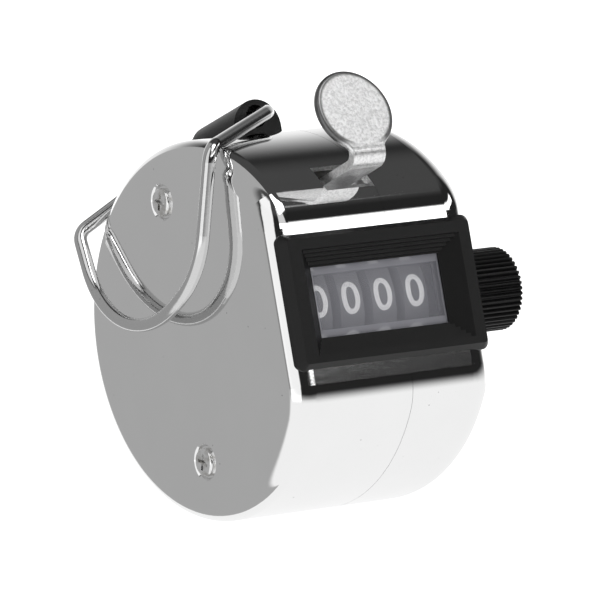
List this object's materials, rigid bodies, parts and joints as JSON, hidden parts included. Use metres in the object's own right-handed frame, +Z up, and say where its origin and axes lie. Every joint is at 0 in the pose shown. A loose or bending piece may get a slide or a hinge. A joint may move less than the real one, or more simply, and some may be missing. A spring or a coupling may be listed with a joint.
{
  "type": "hand tally counter",
  "caption": "Chromed drum-shaped hand tally counter with a framed digit window, thumb lever, ribbed reset knob and swinging finger ring.",
  "frame": {"origin": "middle of the bounding box on the surface the drum stands on", "axes": "+X across the drum from the ring's side to the reset knob, +Y from the window to the back, +Z up; the window faces 16.5 degrees above -Y"},
  "size_m": [0.044, 0.043, 0.0525],
  "materials": {
    "chrome": "polished chrome plate",
    "steel_screw": "bright nickel plate",
    "black_plastic": "satin black moulding",
    "clear_plastic": "clear moulded window",
    "wheel_plastic": "matt dark grey moulding",
    "gear_plastic": "natural white moulding",
    "plain_steel": "stamped plain steel",
    "spring_steel": "drawn spring wire and strip",
    "brass": "turned brass"
  },
  "bodies": {
    "casing": {"left_shell": "chrome", "right_shell": "chrome", "case_screws": "steel_screw", "window_bezel": "black_plastic", "window_lens": "clear_plastic", "ring_bracket": "black_plastic", "bracket_rivets": "brass", "frame_left_plate": "plain_steel", "frame_right_plate": "plain_steel", "frame_back_plate": "plain_steel", "frame_posts": "plain_steel", "pinion_shaft": "plain_steel", "pinion_spacers": "brass", "lever_pivot_pin": "plain_steel", "backstop_spring": "spring_steel"},
    "units": {"units_wheel": "wheel_plastic", "ratchet_wheel": "plain_steel"},
    "tens": {"tens_wheel": "wheel_plastic"},
    "hundreds": {"hundreds_wheel": "wheel_plastic"},
    "thousands": {"thousands_wheel": "wheel_plastic"},
    "tens_carry": {"tens_pinion": "gear_plastic"},
    "hundreds_carry": {"hundreds_pinion": "gear_plastic"},
    "thousands_carry": {"thousands_pinion": "gear_plastic"},
    "reset": {"wheel_shaft": "plain_steel", "shaft_clips": "spring_steel", "reset_knob": "black_plastic", "knob_pin": "plain_steel"},
    "lever": {"thumb_lever": "chrome", "lever_return_spring": "spring_steel", "pawl_rivet": "brass", "pawl_spring": "spring_steel"},
    "pawl": {"drive_pawl": "plain_steel"},
    "ring": {"finger_ring": "chrome"}
  },
  "joints": [
    {"name": "units_spin", "type": "hinge", "parent": "casing", "child": "units", "pos_m": [-0.00354, -0.00611, 0.02409], "axis": [1, 0, 0], "continuous": true},
    {"name": "tens_spin", "type": "hinge", "parent": "casing", "child": "tens", "pos_m": [-0.00354, -0.00611, 0.02409], "axis": [1, 0, 0], "continuous": true},
    {"name": "hundreds_spin", "type": "hinge", "parent": "casing", "child": "hundreds", "pos_m": [-0.00354, -0.00611, 0.02409], "axis": [1, 0, 0], "continuous": true},
    {"name": "thousands_spin", "type": "hinge", "parent": "casing", "child": "thousands", "pos_m": [-0.00354, -0.00611, 0.02409], "axis": [1, 0, 0], "continuous": true},
    {"name": "tens_pinion_spin", "type": "hinge", "parent": "casing", "child": "tens_carry", "pos_m": [-0.00354, -0.00366, 0.01388], "axis": [1, 0, 0], "continuous": true},
    {"name": "hundreds_pinion_spin", "type": "hinge", "parent": "casing", "child": "hundreds_carry", "pos_m": [-0.00354, -0.00366, 0.01388], "axis": [1, 0, 0], "continuous": true},
    {"name": "thousands_pinion_spin", "type": "hinge", "parent": "casing", "child": "thousands_carry", "pos_m": [-0.00354, -0.00366, 0.01388], "axis": [1, 0, 0], "continuous": true},
    {"name": "reset_spin", "type": "hinge", "parent": "casing", "child": "reset", "pos_m": [-0.00354, -0.00611, 0.02409], "axis": [1, 0, 0], "continuous": true},
    {"name": "lever_press", "type": "hinge", "parent": "casing", "child": "lever", "pos_m": [-0.00354, -0.01606, 0.01515], "axis": [1, 0, 0], "range_deg": [-5.5, 0], "stiffness_Nm_per_rad": 0.12, "springref_deg": 20.05},
    {"name": "pawl_swing", "type": "hinge", "parent": "lever", "child": "pawl", "pos_m": [0.00646, -0.01118, 0.03195], "axis": [1, 0, 0], "range_deg": [-6, 0], "stiffness_Nm_per_rad": 0.002, "springref_deg": 17.19},
    {"name": "ring_swing", "type": "hinge", "parent": "casing", "child": "ring", "pos_m": [-0.00354, 0.00499, 0.04573], "axis": [0, 0.9367, -0.3502], "range_deg": [0, 200]}
  ],
  "couplings": [
    {"joint": "tens_spin", "follows": "units_spin", "ratio": 0.1},
    {"joint": "hundreds_spin", "follows": "units_spin", "ratio": 0.01},
    {"joint": "thousands_spin", "follows": "units_spin", "ratio": 0.001},
    {"joint": "tens_pinion_spin", "follows": "units_spin", "ratio": -0.25},
    {"joint": "hundreds_pinion_spin", "follows": "units_spin", "ratio": -0.025},
    {"joint": "thousands_pinion_spin", "follows": "units_spin", "ratio": -0.0025}
  ]
}
